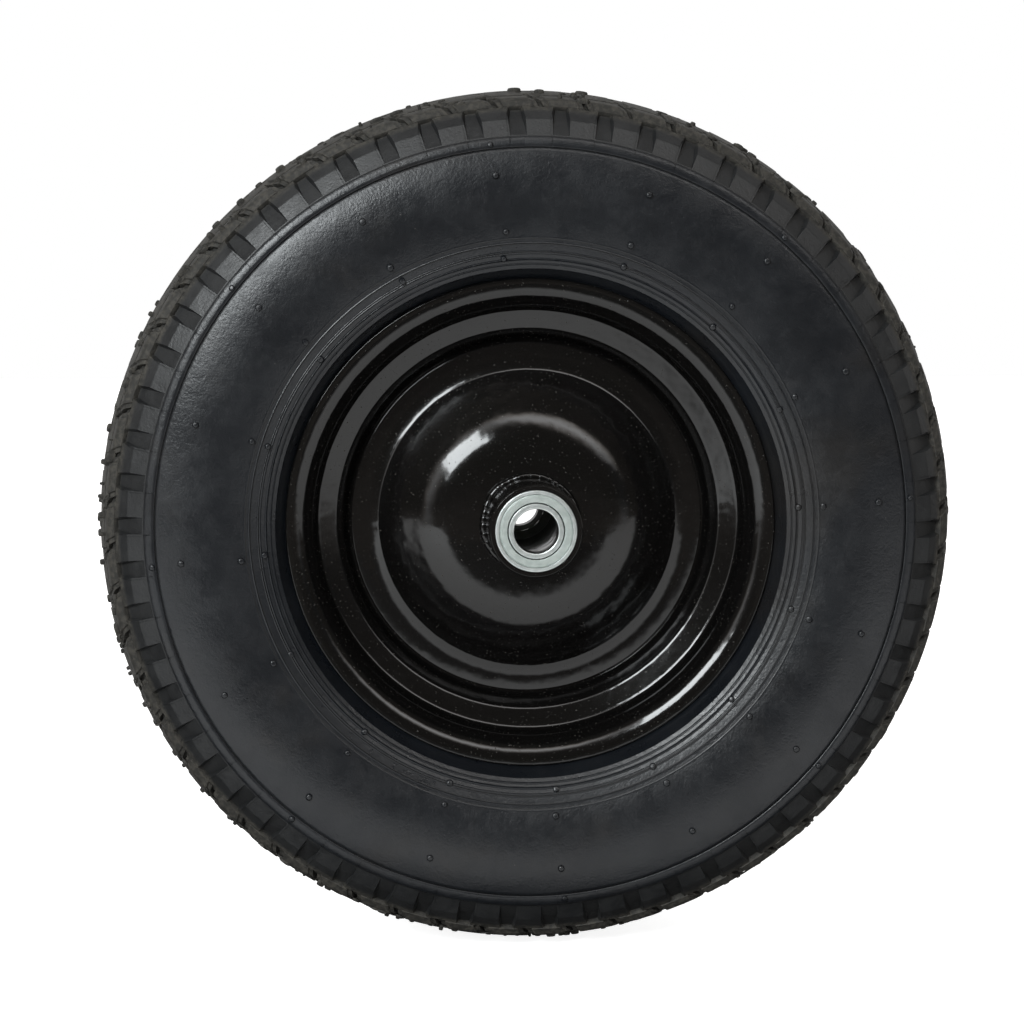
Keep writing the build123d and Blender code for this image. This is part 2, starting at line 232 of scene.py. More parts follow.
# %% [markdown]
# ## Sidewalls
# A sidewall is one long curve with a few fine rings near the bead, left by the mould. The rings are
# less than half a millimetre high, so the section has extra points just where they are.

# %% Sidewall section
line_bottom = 171.0 + 48.25j
bead_edge = 117.4 + 40.9j
bead_seat = 101.75
root_centre = 110.5 + 22.7j
moulded_radii = np.array([119.6, 121.6, 124.2, 125.1, 128.9, 131.2])
moulded_heights = np.array([0.25, 0.35, 0.3, 0.3, 0.3, 0.12])


def sidewall_section():
    """From the band down the wall's arc and the bead's slope, round its heel and seat, and back inside."""
    fine = (moulded_radii[:, None] + np.linspace(-0.8, 0.8, 9)).ravel()
    high = np.unique(np.concatenate([np.linspace(122.4, 170.7, 44), fine[fine > 122.2]]))[::-1]
    low = np.unique(np.concatenate([np.linspace(117.6, 122.0, 6), fine[fine <= 122.0]]))[::-1]
    on_wall = high + 1j * (wall_centre.imag + np.sqrt(wall_curve ** 2 - (high - wall_centre.real) ** 2))
    slope = np.interp(low, [bead_edge.real, wall_foot.real], [bead_edge.imag, wall_foot.imag])
    heel = arc(root_centre, 8.75, 105, 180, 8)
    corner = rounded([117.6 + 41.02j, bead_edge, 113.7 + 32.61j, heel[0]], [0.8, 1.5], 5)
    return np.concatenate([
        [line_bottom, 170.85 + 48.4j, 170.8 + 48.9j], on_wall, low + 1j * slope,
        corner[1:], heel[1:], [bead_seat + 20.5j, bead_seat + 19.1j, 110.0 + 24.5j], wall_inside[::-1],
    ])


print("sidewall rows:", len(sidewall_section()))

# %% [markdown]
# The section is then carried round the wheel. A slow ripple, a tenth of a millimetre high, keeps
# the rubber from looking machined.

# %% Sidewall surfaces
def sidewall(name, side):
    """Adds height * e^(-(distance / 0.26)^2) at each moulded ring, and three waves round the wheel."""
    outer = sidewall_section()
    visible = outer.imag > 40
    rings = sum(height * np.exp(-((outer.real - radius) / 0.26) ** 2)
                for radius, height in zip(moulded_radii, moulded_heights))
    angle = np.linspace(0, 2 * np.pi, 360, endpoint=False)
    waves = 0.10 * np.sin(3 * angle + 1.3) + 0.06 * np.sin(7 * angle + 0.4) + 0.03 * np.sin(19 * angle)
    fade = np.clip((outer.real - 118) / 20, 0, 1) * np.clip((170.8 - outer.real) / 8, 0, 1)
    depth = outer.imag[:, None] + (rings * visible)[:, None] + (fade * visible)[:, None] * waves[None, :]
    points = ring_points(outer.real[:, None], side * depth, angle[None, :])
    make_piece(name, points, ring_faces(len(outer), len(angle)), "wheel", "tyre", ["tyre"], 50)


for end, side in ends:
    sidewall(f"{end}_sidewall", side)

# %% [markdown]
# ## Shoulders
# Fifty-eight blocks stand round each shoulder. Between two blocks a pocket slants down from the
# smooth band and ends under a bar of the tread, and over the middle of each block a narrow slot
# runs in from the tread's edge. A grid whose columns follow those edges shows them crisply
# with few points: the columns bunch at each edge, lean with the slot, and draw in with the pocket.

# %% Shoulder section
pitches = 58
phase = math.radians(92.53)
block_foot = 176.35 + 47.12j
fold = 184.0 + 43.9j
shoulder = 190.5 + 38.3j
edge = 193.27 + 37.0j
crown_outside = arc(crown_centre, crown_curve, 20.6, 9.87, 30)
groove_curve = crown_curve - 4.6
groove_floor = crown_centre + groove_curve * np.exp(1j * math.asin(16 / groove_curve))
band = np.array([
    line_bottom, 171.3 + 48.2j, 171.42 + 48.9j, 171.7 + 49.1j, 172.9 + 49.05j,
    174.4 + 48.75j, 175.75 + 48.3j, 175.95 + 48.1j, 176.1 + 47.25j,
])
block_path = rounded([block_foot, fold, shoulder, edge, crown_outside[2]], [0.9, 3.0, 2.6], 5)
block_path = np.concatenate([block_path, crown_outside[3:]])
print("shoulder section, mm:", round(lengths(block_path)[-1], 1))

# %% [markdown]
# The rows stand close together where the pattern changes: at the band, at the fold, at the end of
# the pocket under the bar, and at the tread's edge. Each row is a distance along the section.

# %% Rows of the shoulder
to_fold = abs(fold - block_foot)
pocket_end = to_fold + 7.6
to_edge = to_fold + abs(shoulder - fold) + abs(edge - shoulder)
along_path = lengths(block_path)
to_groove = along_path[-1]
places = np.concatenate([
    [0.0, 0.35, 0.5, 0.65],
    np.linspace(1.2, to_fold - 1.0, 6),
    to_fold + np.linspace(-0.6, 0.6, 4),
    np.linspace(to_fold + 1.4, pocket_end - 1.0, 5),
    pocket_end + np.array([-0.35, -0.15, 0.0, 0.15, 0.4]),
    np.linspace(pocket_end + 1.0, to_edge + 1.0, 6),
    np.linspace(to_edge + 1.8, to_edge + 4.2, 3),
    to_edge + 5.0 + np.array([-0.25, 0.0, 0.45, 1.0, 1.25]),
    np.linspace(to_edge + 7.2, to_groove - 0.5, 6),
    [to_groove - 0.2, to_groove],
])
face = np.interp(places, along_path, block_path.real) + 1j * np.interp(places, along_path, block_path.imag)
face_normal = outward(face)
print("shoulder rows:", len(places))

# %% [markdown]
# ## Columns that follow the pattern
# Each row of the shoulder lists where the pattern's edges cross it, in millimetres from the
# middle of a pocket. Between two edges the points are evenly spaced. The same few numbers of
# points are used in every row, so the rows still join into one grid.

# %% Pocket depth and pattern edges
def smooth_step(value, low, high):
    """0 below low, 1 above high, and 3t^2 - 2t^3 between them."""
    t = np.clip((value - low) / (high - low), 0, 1)
    return t * t * (3 - 2 * t)


def pocket_depth(place):
    """The pocket sinks at 15 degrees up to the fold, and rises slowly from there to its end."""
    down = np.clip(place - 0.5, 0, None) * math.tan(math.radians(15.0)) + 0.13
    under_bar = 2.4 - 0.045 * (place - to_fold)
    inside = (place > 0.45) & (place < pocket_end - 0.05)
    return np.where(place < to_fold, down, under_bar) * inside


def pattern_edges(place, radius, sink):
    """Six crossings at the left slot, six over the pocket and seven at the right slot. The slots lean 25
    degrees and the pocket's flanks 27. Past the pocket's end its six crossings spread over the bar."""
    half = np.pi * radius / pitches
    shift = math.tan(math.radians(25.0)) * np.clip(place - to_edge, -4.5, 12.0)
    left, right = -half + shift, half + shift
    at_left = [left + offset for offset in (1.0, 1.2, 1.5, 3.2, 3.7, 4.2)]
    at_right = [right - offset for offset in (4.2, 3.7, 3.2, 1.5, 1.2, 1.0, -1.0)]
    floor_half = np.interp(place, [0.5, pocket_end], [4.1, 2.3])
    flank = np.clip(sink, 0.15, None) * math.tan(math.radians(27.0))
    widths = [floor_half + flank + 0.3, floor_half + flank, floor_half]
    free = smooth_step(place, pocket_end + 0.5, to_edge + 1.5)
    first, last = at_left[-1], at_right[0]
    over_pocket = [key * (1 - free) + (first + (last - first) * share) * free
                   for key, share in zip([-width for width in widths] + widths[::-1], np.arange(1, 7) / 7)]
    return np.stack(at_left + over_pocket + at_right, -1)


# %% [markdown]
# Each crossing also has a height. Pockets and slots sink, the bars stand a little proud, and a
# shallow groove runs round the wheel near the tread's edge.

# %% Heights and the grid of one pitch
def shoulder_heights(place, sink):
    """The surface's height at each of the 19 crossings: slot, dent, land, pocket, land, dent and slot."""
    slot = smooth_step(place, to_edge - 4.3, to_edge - 3.3)
    slot = slot * (1 - smooth_step(place, to_edge + 11.0, to_edge + 11.6))
    bar = 0.45 * smooth_step(place, pocket_end - 0.02, pocket_end + 0.2)
    groove = 1.6 * smooth_step(place, to_edge + 4.7, to_edge + 5.0)
    groove = groove * (1 - smooth_step(place, to_edge + 6.0, to_edge + 6.3))
    dent = -0.5 * slot - groove
    land = np.where(sink > 0, 0.0, bar - groove)
    pocket = np.where(sink > 0, -sink, bar - groove)
    return np.stack([-2.4 * slot] + [dent] * 3 + [land] * 4 + [pocket] * 2 + [land] * 4 + [dent] * 3
                    + [-2.4 * slot] * 2, -1)


def pitch_grid():
    """Reads the crossings and their heights at even shares of the gaps that have two or three points."""
    counts = [1, 1, 1, 1, 1, 1, 1, 2, 3, 2, 1, 1, 1, 1, 1, 1, 1, 1]
    share = np.concatenate([number + np.arange(count) / count for number, count in enumerate(counts)])
    sink = pocket_depth(places)
    tables = pattern_edges(places, face.real, sink), shoulder_heights(places, sink)
    return [np.stack([np.interp(share, np.arange(len(row)), row) for row in table]) for table in tables]


across, height = pitch_grid()
print("rows and columns of a pitch:", across.shape)

# %% [markdown]
# ## Building a shoulder
# The grid's inner rows close the ring through the rubber, down to the space for the inner tube.
# Small shifts and a little seeded unevenness are added last, because no two blocks of a moulded
# tyre are quite alike.

# %% Shoulder surfaces
def shoulder_ring(name, side, seed):
    """Moves each point of the section along its normal by the pattern's height, then closes the loop."""
    uneven = np.random.default_rng(seed).uniform(-1, 1, (pitches, 3))
    angles, lifts = [], []
    for number, (aside, taller, deeper) in enumerate(uneven):
        start = phase + number * 2 * np.pi / pitches
        angles.append(start + (across + 0.25 * aside) / face.real[:, None])
        lifts.append(height * (1 + 0.08 * taller) + 0.10 * deeper * (height < -0.8))
    angle, lift = np.concatenate(angles, 1), np.concatenate(lifts, 1)
    columns = angle.shape[1]
    inner_arc = arc(crown_centre, crown_hollow, 9.8, 17.6, 4)
    after = np.concatenate([[groove_floor + 1.9j, groove_floor], inner_arc, [wall_inside[0]]])
    even = phase + np.linspace(0, 2 * np.pi, columns, endpoint=False) + across[0, 0] / face.real[0]
    blend = np.linspace(0, 1, len(band))[:, None]
    band_angle = even * (1 - blend) + angle[0] * blend
    after_angle = np.repeat(angle[-1][None, :], len(after), 0)
    all_angles = np.concatenate([band_angle, angle, after_angle])
    surface = face[:, None] + face_normal[:, None] * lift
    band_rows, after_rows = np.repeat(band[:, None], columns, 1), np.repeat(after[:, None], columns, 1)
    section = np.concatenate([band_rows, surface, after_rows])
    # How deep each point lies in a pocket or slot; the rubber darkens its colour by this depth, as painted
    # shade.
    hollow = np.pad(np.clip(-lift, 0, None), ((len(band), len(after)), (0, 0)))
    points = ring_points(section.real, side * section.imag, all_angles)
    make_piece(name, points, ring_faces(*section.shape), "wheel", "tyre", ["tyre"], 38, hollow)


shoulder_ring("front_shoulder", -1, 11)
shoulder_ring("rear_shoulder", 1, 12)

# %% [markdown]
# ## The middle of the tread
# Between the two deep grooves the tread is one plain rib, with short cuts across both its edges.

# %% Middle rib
def middle_rib():
    """The crown's arc between the grooves, sunk by 2.6 where shallow cuts cross it once in each pitch."""
    top = arc(crown_centre, crown_curve, 7.66, -7.66, 21)
    floor = groove_floor - 1.9j
    side = top[0] - 0.3
    inner = arc(crown_centre, crown_hollow, -9.8, 9.8, 8)
    left, right = np.array([groove_floor, floor, side]), np.conj([side, floor, groove_floor])
    section = np.concatenate([left, top, right, inner])
    on_top = np.isin(np.arange(len(section)), len(left) + np.arange(len(top)))
    spots = np.array([-0.5, -0.2, -0.085, -0.06, 0.06, 0.085, 0.2])
    cut = np.tile([0, 0, 0, 1, 1, 0, 0], pitches)
    angle = (phase + (np.arange(pitches)[:, None] + spots[None, :]) * 2 * np.pi / pitches).ravel()
    reach = smooth_step(abs(section.imag), 6.0, 7.0) * on_top
    radius = section.real[:, None] - 2.6 * reach[:, None] * cut[None, :]
    points = ring_points(radius, section.imag[:, None], angle[None, :])
    make_piece("middle_rib", points, ring_faces(*radius.shape), "wheel", "tyre", ["tyre"], 38)


middle_rib()

# %% [markdown]
# ## Vent nubs and flash
# Rubber flows into the mould's air vents and leaves short pips, in rows across the sidewall. Along
# the tread it also squeezes out between the mould's segments and leaves ragged flakes. Both are
# small domes with their foot sunk in the rubber: pips are round, and flakes are drawn out lengthways.

# %% Small domes
def small_domes(name, angles, spots, normals, widths, heights, stretch):
    """Each dome has four rings of ten points, whose width and height are these steps of its own. A point
    moves round the wheel by width * stretch * cos(turn), and across the section by width * sin(turn)."""
    steps = np.array([[1.0, -0.45], [1.0, 0.55], [0.82, 0.9], [0.4, 1.0]])
    turn = np.linspace(0, 2 * np.pi, 10, endpoint=False)
    width = widths[:, None, None] * steps[None, :, :1]
    rise = heights[:, None, None] * steps[None, :, 1:]
    place = spots[:, None, None] + normals[:, None, None] * (rise - 1j * width * np.sin(turn))
    round_wheel = width * stretch[:, None, None] * np.cos(turn) / spots.real[:, None, None]
    points = ring_points(place.real, place.imag, angles[:, None, None] + round_wheel)
    index = np.arange(40).reshape(4, 10)
    right = np.roll(index, -1, 1)
    walls = np.stack([index[:-1], right[:-1], right[1:], index[1:]], -1).reshape(-1, 4)
    top_and_foot = (index[3], index[0][::-1])
    caps = [[row[0], row[n], row[n + 1], row[n + 2]] for row in top_and_foot for n in (1, 3, 5, 7)]
    one = np.concatenate([walls, np.array(caps)])
    faces = (one[None] + 40 * np.arange(len(angles))[:, None, None]).reshape(-1, 4)
    make_piece(name, points, faces, "wheel", "tyre", [], 50)


# %% [markdown]
# The pips stand in sixteen rows, each a little off its true place. Every second row has one more
# on the smooth band at the foot of the blocks.

# %% Nubs
def nub_rows(name, side, seed):
    """Sixteen rows of three nubs on the wall, 22.3 degrees apart, and eight single nubs on the band."""
    random = np.random.default_rng(seed)
    rows = np.arange(16)
    radii = np.array([158.8, 134.0, 122.0])[None, :] + random.uniform(-1.2, 1.2, (16, 3))
    radii[:, 2] += 3.5 * (rows % 2)
    wall_angles = np.radians(96.2 + 22.3 * rows)[:, None] + random.uniform(-0.012, 0.012, (16, 3))
    on_wall = wall_centre + wall_curve * np.exp(1j * np.arccos((radii - wall_centre.real) / wall_curve))
    spots = np.concatenate([on_wall.ravel(), np.full(8, 173.2 + 48.95j)])
    normals = (spots - wall_centre) / abs(spots - wall_centre)
    angles = np.concatenate([wall_angles.ravel(), wall_angles[::2, 0] + 0.004])
    count = len(angles)
    if side < 0:
        spots, normals = np.conj(spots), np.conj(normals)
    widths = random.uniform(1.35, 1.65, count)
    heights = random.uniform(0.9, 1.6, count)
    small_domes(name, angles, spots, normals, widths, heights, np.ones(count))


nub_rows("front_nubs", -1, 21)
nub_rows("rear_nubs", 1, 22)

# %% [markdown]
# The flakes are longest at the upper left of the tread, as in the photograph. None of them may stand
# higher than the tyre itself.

# %% Flakes
def tread_flakes(name, side, seed):
    """Flakes on a shoulder's crown, thicker towards its edge. Their height follows a cube of chance, times
    1 + 0.6 * cos(angle - 2.7), and is cut off at a radius of 199.85."""
    random = np.random.default_rng(seed)
    count = 520
    depth = 36.5 - 20.0 * random.uniform(0, 1, count) ** 1.7
    radius = crown_centre + np.sqrt(crown_curve ** 2 - depth ** 2)
    spots = radius + 1j * depth
    normals = (spots - crown_centre) / crown_curve
    heights = random.uniform(0.2, 1.0, count) ** 3 * 1.9 + 0.2
    angles = random.uniform(0, 2 * np.pi, count)
    heights = np.minimum(heights * (1 + 0.6 * np.cos(angles - 2.7)), 199.85 - radius)
    if side < 0:
        spots, normals = np.conj(spots), np.conj(normals)
    widths = random.uniform(0.3, 0.9, count)
    small_domes(name, angles, spots, normals, widths, heights, random.uniform(1.0, 4.2, count))


tread_flakes("front_flakes", -1, 31)
tread_flakes("rear_flakes", 1, 32)

# %% [markdown]
# ## Rim halves
# Each half of the rim is one pressing: a flat ring, a sloping well wall, the seat of the tyre's bead
# and a flared edge. A sheet's visible side is drawn as a path with rounded corners, and the
# hidden side is the same path moved by the steel's thickness.

# %% Rim halves
def rim_section():
    """Flat ring, well wall, seat, a root arc from 180 to 98 degrees, and a round edge of radius 0.8."""
    steel = 1.6
    corners = [68.0 + 1.6j, 85.0 + 1.6j, 89.4 + 12.8j, 100.0 + 16.75j, 100.0 + 21.0j]
    walls = rounded(corners, [2.0, 2.6, 3.0])
    root = arc(112.8 + 21.4j, 12.8, 180, 98, 30)
    edge = arc(112.4 + 33.3j, 0.8, 98, -75, 9)
    visible = spaced(np.concatenate([walls, root, edge[:1]]), 0.7)
    hidden = spaced(walls, 3.0)
    hidden = hidden - outward(hidden) * steel
    hidden_root = arc(root_centre, 10.5 - steel, 105, 180, 8)
    return np.concatenate([visible, edge[1:], hidden_root, hidden[::-1]])


for end, side in ends:
    lathe(f"{end}_rim_half", rim_section(), side, "rim_paint", [f"{end}_rim"])

# %% [markdown]
# ## Domed discs
# A disc rises from a flat ring over a soft crease and a cone to a nearly flat crown, and meets the
# hub tube in a weld. The soft turn between cone and crown gathers the studio's lights into one ring.
# Reflections show every facet, so the path has a point in each 0.8 millimetre.

# %% Domed discs
def disc_section():
    """A flat crown arc, a tighter arc, a cone, a valley arc, and a flat ring with a rounded edge."""
    crown = arc(10.06 - 189.5j, 212.9, 87.0, 83.0, 10)
    turn = arc(31.17 - 17.55j, 39.64, 83.0, 58.26, 30)
    valley = arc(77.1 + 24.6j, 21.0, 252.6, 270, 10)
    ring = rounded([valley[-1], 83.5 + 3.6j, 83.5 + 1.75j], [0.7], 5)
    cone = rounded([turn[-1], 70.4 + 4.8j, valley[0], valley[3]], [2.5, 2.5], 6)
    path = np.concatenate([crown, turn[1:], cone[1:], valley[4:-1]])
    hidden = spaced(path, 3.0)
    hidden = hidden - outward(hidden) * 2.0
    return np.concatenate([spaced(path, 0.8), ring, [83.5 + 1.6j], hidden[::-1]])


for end, side in ends:
    lathe(f"{end}_domed_disc", disc_section(), side, "rim_paint", [f"{end}_disc"])

# %% [markdown]
# ## Hub tube and its welds
# The hub is a thick tube with a bearing seat turned in each end. A weld runs round it where the
# dome meets it, and its ripples are the small puddles that the welder laid one over the next.

# %% Hub tube
def tube_section():
    """The tube's outside, its chamfered ends, and its bore, with the step of a seat near each end."""
    outside = spaced(np.array([21.2 - 59.3j, 21.2 + 59.3j]), 6.0)
    upper = rounded([21.2 + 59.3j, 20.5 + 60j, 18.5 + 60j, 18.5 + 51j, 17.0 + 51j], [0.3, 0.25, 0.2], 4)
    inside = spaced(np.array([17.0 + 51j, 17.0 - 51j]), 6.0)
    lower = np.conj(upper)[::-1]
    return np.concatenate([outside[:-1], upper, inside[1:-1], lower[:-1]])


lathe("hub", tube_section(), 1, "rim_paint", ["hub_tube"], 192, 30)

# %% [markdown]
# The root of a sine has round tops and sharp valleys, much like the puddles of a weld. Seeded
# values at even knots make its pace, its size and its place drift.

# %% Welds
def weld_bead(name, side, seed):
    """A ring round the hub's foot, as thick as 1.7 + 0.34 * sqrt(|sin(17 * angle + drift)|) and drifts."""
    random = np.random.default_rng(seed)
    angle = np.linspace(0, 2 * np.pi, 540, endpoint=False)
    drifts = []
    for knots in (24, 16, 70):
        values = random.uniform(-1, 1, knots)
        closed = np.append(values, values[0])
        drifts.append(np.interp(angle, np.linspace(0, 2 * np.pi, knots + 1), closed))
    shift, pace, bump = drifts
    ripple = np.sqrt(abs(np.sin(17 * angle + 1.9 * pace)))
    thick = 1.7 + 0.34 * ripple + 0.25 * shift + 0.10 * bump
    round_bead = np.exp(1j * np.linspace(0, 2 * np.pi, 14, endpoint=False))
    loop = 21.75 + 24.15j + 0.2 * shift[None, :] + thick[None, :] * round_bead[:, None]
    points = ring_points(loop.real, side * loop.imag, angle[None, :])
    make_piece(name, points, ring_faces(*loop.shape), "wheel", "rim_paint", [], 60)


weld_bead("front_weld", -1, 5)
weld_bead("rear_weld", 1, 6)

# %% [markdown]
# ## Ball bearings
# A bearing's rings and shields are turned or pressed to a fine finish, so their edges are drawn
# with small rounds that catch the light. The balls and cages are hidden, and stay as they are.

# %% Bearings
def outer_ring_section():
    """From the ring's seat in the tube to its land, with a step for the shield at each face."""
    corners = [18.5 + 52j, 18.5 + 60j, 16.75 + 60j, 16.75 + 59.05j, 16.0 + 59.05j, 16.0 + 51.95j,
               16.75 + 51.95j, 16.75 + 51j, 18.0 + 51j, 18.5 + 51.6j]
    return rounded(corners, [0.45, 0.12, 0.1, 0.1, 0.1, 0.1, 0.12, 0.4], 4)


def inner_ring_section():
    """A plain ring with rounded corners between the axle's radius and its land."""
    corners = [12.5 + 55j, 12.5 + 60j, 10.0 + 60j, 10.0 + 51j, 12.5 + 51j, 12.5 + 54j]
    return rounded(corners, [0.4, 0.6, 0.45, 0.3], 5)


def shield_section():
    """A thin pressing, flat from the inner ring outwards, with an edge that is rolled into its groove."""
    corners = [13.0 + 59.3j, 13.08 + 59.62j, 15.85 + 59.62j, 16.0 + 59.42j, 16.2 + 59.72j]
    visible = rounded(corners, [0.12, 0.1, 0.12], 4)
    hidden = visible - outward(visible) * 0.28
    return np.concatenate([visible, hidden[::-1]])


for end, side in ends:
    bearing = f"{end}_bearing"
    lathe(f"{bearing}_outer", outer_ring_section(), side, "bearing_steel", [f"{end}_outer_ring"], 160, 35)
    lathe(f"{bearing}_shield", shield_section(), side, "shield_steel", [f"{end}_outer_shield"], 160, 35)
    lathe(f"{bearing}_inner", inner_ring_section(), side, "bearing_steel", [f"{end}_inner_ring"], 160, 35,
          "inner_rings")

# %% [markdown]
# ## Valve
# The stem leans inwards from the sloping well wall of the rear half. It is a lathe shape on its
# own axis, with a rubber collar at the steel and a fine thread at its end. Its cap has flutes.

# %% Valve stem
lean = math.radians(16.0)
valve_foot = np.array([0.0, 13.52 + 5.0 * math.tan(lean), 94.6])
valve_axis = np.array([0.0, math.cos(lean), -math.sin(lean)])
valve_side = np.cross(valve_axis, [1.0, 0.0, 0.0])


def on_valve(radius, height, angle):
    """Grid points at foot + height * axis + radius * (cos(angle) * X + sin(angle) * side)."""
    radius, height, angle = (part[..., None] for part in np.broadcast_arrays(radius, height, angle))
    outward_way = np.cos(angle) * [1.0, 0, 0] + np.sin(angle) * valve_side
    return (valve_foot + height * valve_axis + radius * outward_way).reshape(-1, 3)


def valve_stem():
    """Foot, collar, plain shank, then a thread whose radius follows a cosine, and back down the bore."""
    foot = [1.9 - 6.2j, 4.6 - 6.2j, 4.6 - 4.7j, 4.0 - 4.6j, 4.0 - 1.7j]
    shank = [4.0 + 0.0j, 5.4 + 0.05j, 5.3 + 1.4j, 4.0 + 2.4j, 4.0 + 11.6j, 3.7 + 12.0j]
    thread = np.linspace(12.2, 23.2, 80)
    mouth = [3.6 + 23.4j, 3.3 + 23.75j, 1.9 + 23.75j, 1.9 + 20.0j]
    loop = np.concatenate([
        rounded(foot, [0.3, 0.3, 0.2], 4),
        rounded(shank, [0.2, 0.6, 0.6, 0.3], 4),
        3.68 + 0.11 * np.cos(2 * np.pi * thread / 0.8) + 1j * thread,
        rounded(mouth, [0.15, 0.1], 4),
    ])
    angle = np.linspace(0, 2 * np.pi, 64, endpoint=False)
    points = on_valve(loop.real[:, None], loop.imag[:, None], angle[None, :])
    make_piece("valve_body", points, ring_faces(len(loop), 64), "wheel", "stem_rubber", ["valve_stem"])


valve_stem()

# %% [markdown]
# The cap is a cup over the thread. It belongs to its own body, so that it can be drawn off.

# %% Valve cap
def valve_cap():
    """A cup whose outside radius loses 0.4 at each of 24 flutes, with a plain band at its foot."""
    foot = [4.2 + 12.83j, 4.95 + 12.83j, 4.95 + 14.3j]
    top = [4.85 + 14.6j, 4.85 + 24.2j, 4.3 + 25.6j, 0.05 + 25.83j]
    hollow = [0.05 + 23.83j, 3.88 + 23.83j, 3.88 + 13.2j]
    loop = np.concatenate([rounded(foot + top, [0.3, 0.2, 0.2, 0.8, 1.0], 5), hollow])
    fluted = smooth_step(loop.imag, 14.5, 15.0) * (1 - smooth_step(loop.imag, 23.9, 24.9))
    fluted = fluted * (loop.real > 4.2)
    angle = np.linspace(0, 2 * np.pi, 192, endpoint=False)
    flute = 0.5 - 0.5 * np.cos(24 * angle)
    radius = loop.real[:, None] - 0.4 * fluted[:, None] * flute[None, :]
    points = on_valve(radius, loop.imag[:, None], angle[None, :])
    make_piece("fluted_cap", points, ring_faces(*radius.shape), "cap", "cap_plastic", ["valve_cap"])


valve_cap()

# %% [markdown]
# ## Arithmetic on shader sockets
# A material is a network of nodes, but a formula is easier to read. This class wraps an output
# socket, so that each operator on it adds one Math node.

# %% Shader arithmetic
class Wire:
    """A node's output. Arithmetic on it adds Math nodes and returns their outputs."""

    def __init__(self, finish, socket):
        self.finish, self.socket = finish, socket

    def maths(self, operation, *values):
        return self.finish.node("ShaderNodeMath", {"operation": operation}, dict(enumerate(values)))

    def __add__(self, other):
        return self.maths("ADD", self, other)

    __radd__ = __add__

    def __mul__(self, other):
        return self.maths("MULTIPLY", self, other)

    __rmul__ = __mul__

    def __sub__(self, other):
        return self.maths("SUBTRACT", self, other)

    def __rsub__(self, other):
        return self.maths("SUBTRACT", other, self)

    def __truediv__(self, other):
        return self.maths("DIVIDE", self, other)

    def __abs__(self):
        return self.maths("ABSOLUTE", self)

    def root(self):
        return self.maths("SQRT", self)

    def larger(self, other):
        return self.maths("MAXIMUM", self, other)

    def ramp(self, low, high):
        """0 at low and 1 at high, smooth between them."""
        settings = {"interpolation_type": "SMOOTHSTEP"}
        inputs = {"Value": self, "From Min": low, "From Max": high}
        return self.finish.node("ShaderNodeMapRange", settings, inputs)

    def band(self, middle, width):
        """1 at the middle, falling smoothly to 0 at a width from it."""
        return 1 - abs(self - middle).ramp(0.0, width)


print("wires can:", [name for name in vars(Wire) if not name.startswith("__")])

# %% [markdown]
# Every other node comes from one method of a finish. It takes the node's type, then its settings,
# then the values or links of its inputs.

# %% Shader nodes
class Finish:
    """A material or world with its nodes, and the Principled shader that a material ends in."""

    def __init__(self, name, owner=None):
        self.data = owner or bpy.data.materials.new(name)
        self.data.use_nodes = True
        self.tree = self.data.node_tree
        self.shader = self.tree.nodes.get("Principled BSDF")

    def node(self, kind, settings, inputs, output=0):
        made = self.tree.nodes.new(kind)
        for key, value in settings.items():
            setattr(made, key, value)
        for key, value in inputs.items():
            self.feed(made.inputs[key], value)
        return Wire(self, made.outputs[output])

    def feed(self, socket, value):
        if isinstance(value, Wire):
            self.tree.links.new(value.socket, socket)
        elif isinstance(socket.default_value, float):
            socket.default_value = value
        else:
            socket.default_value = (*value, 1.0)

    def set(self, **inputs):
        """Feeds the shader's inputs. An underscore in a name stands for a space."""
        for key, value in inputs.items():
            self.feed(self.shader.inputs[key.replace("_", " ")], value)

    def place(self):
        """Object coordinates, which are metres in the wheel's own frame."""
        return self.node("ShaderNodeTexCoord", {}, {}, "Object")

    def parts(self, vector):
        made = self.tree.nodes.new("ShaderNodeSeparateXYZ")
        self.tree.links.new(vector.socket, made.inputs[0])
        return [Wire(self, output) for output in made.outputs]

    def noise(self, vector, scale, detail=3.0, rough=0.55):
        inputs = {"Vector": vector, "Scale": scale, "Detail": detail, "Roughness": rough}
        return self.node("ShaderNodeTexNoise", {}, inputs)

    def light_path(self, kind):
        """1 for rays of a kind, such as Camera or Glossy, and 0 for others."""
        rays = self.tree.nodes.new("ShaderNodeLightPath")
        return Wire(self, rays.outputs[f"Is {kind} Ray"])

    def mix(self, factor, first, second):
        """A colour between two others."""
        made = self.tree.nodes.new("ShaderNodeMix")
        made.data_type = "RGBA"
        for key, value in (("Factor_Float", factor), ("A_Color", first), ("B_Color", second)):
            self.feed(next(s for s in made.inputs if s.identifier == key), value)
        return Wire(self, next(s for s in made.outputs if s.identifier == "Result_Color"))

    def bump(self, height, distance):
        """A normal tilted by a height, where a height of 1 stands for the distance in metres."""
        return self.node("ShaderNodeBump", {}, {"Height": height, "Distance": distance})


print("finishes can:", [name for name in vars(Finish) if not name.startswith("__")])

# %% [markdown]
# ## Rubber
# Tyre rubber is nearly black, with a faint bloom that turns it bluish grey on the smooth walls. The
# moulded pockets and bars keep a duller, browner skin. The colour follows the distance from the
# axle, so one formula serves the whole tyre, and fine noise breaks the gloss as a mould's skin does.

